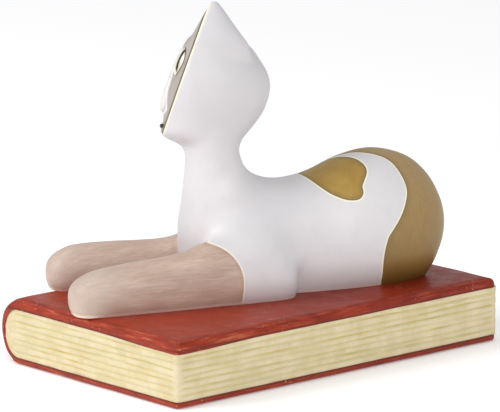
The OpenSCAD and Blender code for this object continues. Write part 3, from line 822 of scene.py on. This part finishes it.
# How wide the blaze is to each side of the middle, by height on the face.
blaze_wide = smooth_run([[14.5, 0.0], [16.0, 6.4], [21.0, 7.0], [26.0, 6.6], [31.0, 6.2], [34.0, 5.2],
                         [38.0, 4.0], [42.0, 3.2], [46.0, 1.4], [47.5, 0.0]], 4)


def beside_blaze(p):
    """Millimetres outside the white blaze that runs down from between the eyes."""
    q = into_head @ p
    for (low, wide), (high, wider) in zip(blaze_wide, blaze_wide[1:]):
        if low <= q.z <= high:
            return min(5.0, abs(q.y) - wide - (wider - wide) * (q.z - low) / (high - low))
    return 5.0


mark(face_mesh, "blaze", beside_blaze)
face_glaze, tree, finish = new_glaze("face_glaze", 0.45, coat=0.08, coat_rough=0.3, specular=0.4)
clouds = mottle(tree, along(tree, cat_turn, (1, 1, 0.4)), 2.2, 4, 0.6)
beige = lay_over(tree, ramp(tree, clouds, 0.35, 0.7), tint(172, 165, 158), tint(158, 150, 142))
beige = lay_over(tree, ramp(tree, measure(tree, "blaze"), 0.4, -0.3), beige, tint(222, 220, 219))
beige = lay_over(tree, ramp(tree, measure(tree, "rim"), 0.9, 0.25), beige, tint(94, 74, 56))
tree.links.new(beige, finish.inputs["Base Color"])
tree.links.new(dent(tree, finish, clouds, 0.08), finish.inputs["Normal"])
piece = settle("face_set_in", face_mesh.copy(), face_glaze, on_book)
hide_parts("face_plate")

# ---- Nose bridge --------------------------------------------------------------------------
# A low rounded ridge down the middle of the face, rolled from clay and dipped in white.

nose_rows = [
    [15.6, -21.6, -18.5, 2.6], [16.4, -22.3, -18.5, 4.0], [17.6, -22.6, -18.5, 4.9],
    [19.5, -22.5, -18.3, 5.2], [22.0, -21.9, -17.9, 5.2], [25.0, -21.0, -17.4, 4.8],
    [28.0, -19.9, -16.6, 4.2], [31.0, -18.7, -15.7, 3.5], [34.0, -17.6, -14.8, 2.7],
    [38.0, -16.0, -13.5, 2.0], [42.0, -14.1, -12.0, 1.4], [46.0, -11.8, -10.6, 0.8]]


def nose_point(row, x, y):
    return ((row[1] + row[2]) / 2 + (row[2] - row[1]) / 2 * x, row[3] * y, row[0])


nose = loft(smooth_run(nose_rows, 5), nose_point, on_neck, 48)
sponge(nose, nose.verts, 1)
nose_glaze, tree, finish = new_glaze("nose_glaze", 0.4, coat=0.1, coat_rough=0.3)
white = lay_over(tree, ramp(tree, mottle(tree, along(tree), 3, 3), 0.4, 0.7),
                 tint(222, 219, 216), tint(213, 209, 206))
tree.links.new(white, finish.inputs["Base Color"])
piece = settle("nose_ridge", nose, nose_glaze, on_book)
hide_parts("nose_bridge")

# ---- Eyes ---------------------------------------------------------------------------------
# Each eye is a small domed almond of clay pressed into the face, painted white with a dark slit,
# a fine dark rim and a dark line along the inner lid.

eye_size, slit_out, lid_in = Vector((2.2, 4.4, 7.0)), 1.5, 2.3
eye_front, eye_across, eye_height = -12.9, 10.9, 37.2
eye_turn, eye_lean, eye_tilt = math.radians(22), rim_lean + math.radians(3), math.radians(8)
eye_glaze, tree, finish = new_glaze("eye_glaze", 0.22, coat=0.35, coat_rough=0.08)
off_middle, off_face = measure(tree, "off_middle"), measure(tree, "off_face")
eye = lay_over(tree, ramp(tree, off_middle, 1.9, 1.2), tint(228, 226, 218), tint(206, 200, 176))
eye = lay_over(tree, ramp(tree, off_middle, 0.85, 0.55), eye, tint(30, 27, 22))
eye = lay_over(tree, ramp(tree, off_face, 0.34, 0.2), eye, tint(66, 58, 50))
eye = lay_over(tree, ramp(tree, measure(tree, "off_lid"), 0.55, 0.3), eye, tint(66, 60, 54))
tree.links.new(eye, finish.inputs["Base Color"])
face_tree = BVHTree.FromPolygons([v.co for v in face_mesh.vertices],
                                 [p.vertices for p in face_mesh.polygons])
for side, name in ((-1, "left_eye"), (1, "right_eye")):
    seat = (on_neck @ Matrix.Translation((eye_front, side * eye_across, eye_height))
            @ Matrix.Rotation(-side * eye_turn, 4, "Z") @ Matrix.Rotation(eye_lean, 4, "Y")
            @ Matrix.Rotation(-side * eye_tilt, 4, "X"))
    dome = bmesh.new()
    bmesh.ops.create_uvsphere(dome, u_segments=72, v_segments=48, radius=1)
    for v in dome.verts:
        # The ball is drawn out to a point above and below, and flatter on its outer side.
        pinch = (1 - 0.4 * v.co.z ** 2) * (0.86 if v.co.y * side > 0 else 1)
        v.co = Vector((v.co.x * eye_size.x, v.co.y * eye_size.y * pinch, v.co.z * eye_size.z))
    bmesh.ops.transform(dome, matrix=seat, verts=dome.verts)
    dome = cut(as_mesh(dome), face_knife, "INTERSECT")
    from_seat = seat.inverted()

    def beside_slit(p):
        q = from_seat @ p
        return abs(q.y - side * slit_out) + max(0.0, abs(q.z) / eye_size.z - 0.5) * 2.2

    def beside_lid(p):
        # The inner lid is a bow that meets the eye's two points.
        q = from_seat @ p
        bow = max(0.25, math.sqrt(max(0.0, 1 - (q.z / eye_size.z) ** 2)))
        return abs(-side * q.y / bow - lid_in)

    mark(dome, "off_middle", beside_slit)
    mark(dome, "off_lid", beside_lid)
    mark(dome, "off_face", lambda p: face_tree.find_nearest(p)[3])
    piece = settle(name + "_domed", dome, eye_glaze, on_book)
    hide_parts(name)

# ---- Mouth --------------------------------------------------------------------------------
# A small raised dab of black slip at the chin.

dab_size, dab_place = Vector((3.2, 4.3, 0.95)), (-19.4, 0, 10.0)
dab = bmesh.new()
bmesh.ops.create_cube(dab, size=2)
bmesh.ops.subdivide_edges(dab, edges=dab.edges[:], cuts=7, use_grid_fill=True)
for v in dab.verts:
    ball = v.co.normalized() * 1.12
    v.co = v.co.lerp(ball, 0.35)
    v.co = Vector((v.co.x * dab_size.x, v.co.y * dab_size.y, v.co.z * dab_size.z))
bmesh.ops.transform(dab, matrix=on_neck @ Matrix.Translation(dab_place), verts=dab.verts)
mouth_paint, tree, finish = new_glaze("mouth_paint", 0.3, coat=0.3)
black = lay_over(tree, ramp(tree, mottle(tree, along(tree), 1.2, 3), 0.4, 0.7),
                 tint(28, 26, 26), tint(48, 44, 42))
tree.links.new(black, finish.inputs["Base Color"])
piece = settle("mouth_dab", dab, mouth_paint, on_book)
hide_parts("mouth")

# ---- Tail ---------------------------------------------------------------------------------
# The tail is a rolled coil of clay that lies on the book along the right flank, brushed the
# brown of the rump. Its root is pressed onto the body behind and its tip turns out.

tail_rows = [
    [79.0, 8.0, 6.0, 4.6], [75.0, 19.0, 5.4, 5.4], [66.0, 27.6, 5.2, 5.2], [54.0, 32.4, 5.0, 5.0],
    [40.0, 34.8, 4.8, 4.8], [26.0, 35.8, 4.5, 4.5], [14.0, 38.0, 4.1, 4.1], [5.0, 42.0, 3.6, 3.6],
    [2.0, 44.2, 2.6, 2.2], [1.2, 45.0, 2.2, 0.8]]
tail_run = smooth_run(tail_rows, 6)
tail_sections = []
for i, row in enumerate(tail_run):
    before, after = tail_run[max(i - 1, 0)], tail_run[min(i + 1, len(tail_run) - 1)]
    way = Vector((after[0] - before[0], after[1] - before[1], 0)).normalized()
    tail_sections.append((Vector(row[:3]), Vector((-way.y, way.x, 0)), row[3]))
tail = loft(tail_sections, lambda s, x, y: s[0] + s[1] * (s[2] * x) + Vector((0, 0, s[2] * y)),
            corners=36)
tail = cut(as_mesh(tail), block((-far, -far, -far), (far, far, 0)))
tail = cut(tail, cast)
mark(tail, "to_tip", lambda p: p.x)
tail_glaze, tree, finish = new_glaze("tail_glaze", 0.45, coat=0.08, coat_rough=0.3, specular=0.4)
hairs = mottle(tree, along(tree, cat_turn, (0.12, 1, 1)), 1.3, 4, 0.65)
brown = lay_over(tree, ramp(tree, measure(tree, "to_tip"), 8, 70), tint(112, 84, 44),
                 tint(160, 132, 84))
brown = lay_over(tree, ramp(tree, hairs, 0.4, 0.7, 0, 0.6), brown, tint(104, 80, 42))
tree.links.new(brown, finish.inputs["Base Color"])
tree.links.new(dent(tree, finish, hairs, 0.08), finish.inputs["Normal"])
piece = settle("tail_coil", tail, tail_glaze, on_book)
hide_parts("tail")

# ---- Studio -------------------------------------------------------------------------------
# A pale sweep of paper, soft light from all round, and a long lens a little above the book.

floor = bmesh.new()
bmesh.ops.create_grid(floor, x_segments=4, y_segments=4, size=15)
floor_mesh = as_mesh(floor, "floor")
paper = bpy.data.objects.new("floor", floor_mesh)
bpy.context.scene.collection.objects.link(paper)
paper_white, tree, finish = new_glaze("paper_white", 0.9, specular=0.1)
finish.inputs["Base Color"].default_value = tint(250, 250, 250)
finish.inputs["Emission Color"].default_value = tint(255, 255, 255)
finish.inputs["Emission Strength"].default_value = 0.2
floor_mesh.materials.append(paper_white)

sky = bpy.data.worlds.new("studio")
sky.use_nodes = True
sky.node_tree.nodes["Background"].inputs[0].default_value = tint(250, 250, 252)
sky.node_tree.nodes["Background"].inputs[1].default_value = 0.62
bpy.context.scene.world = sky
bpy.context.scene.view_settings.view_transform = "Standard"


def softbox(name, spot, aim, wide, power):
    lamp = bpy.data.lights.new(name, "AREA")
    lamp.shape, lamp.size, lamp.energy = "DISK", wide, power
    stand = bpy.data.objects.new(name, lamp)
    bpy.context.scene.collection.objects.link(stand)
    stand.location = spot
    stand.rotation_euler = (Vector(aim) - Vector(spot)).to_track_quat("-Z", "Y").to_euler()


softbox("key_light", (-0.7, -1.5, 1.25), (0, 0, 0.06), 1.0, 20)
softbox("fill_light", (1.7, -1.0, 1.0), (0, 0, 0.06), 1.2, 13)

lens = bpy.data.cameras.new("camera")
lens.lens, lens.sensor_width = 338.4, 36
lens.clip_end = 60
camera = bpy.data.objects.new("camera", lens)
bpy.context.scene.collection.objects.link(camera)
camera.location = (1.45345, -1.29129, 0.47707)
camera.rotation_euler = (math.radians(90 - 12.03), 0, math.radians(48.41))
bpy.context.scene.camera = camera
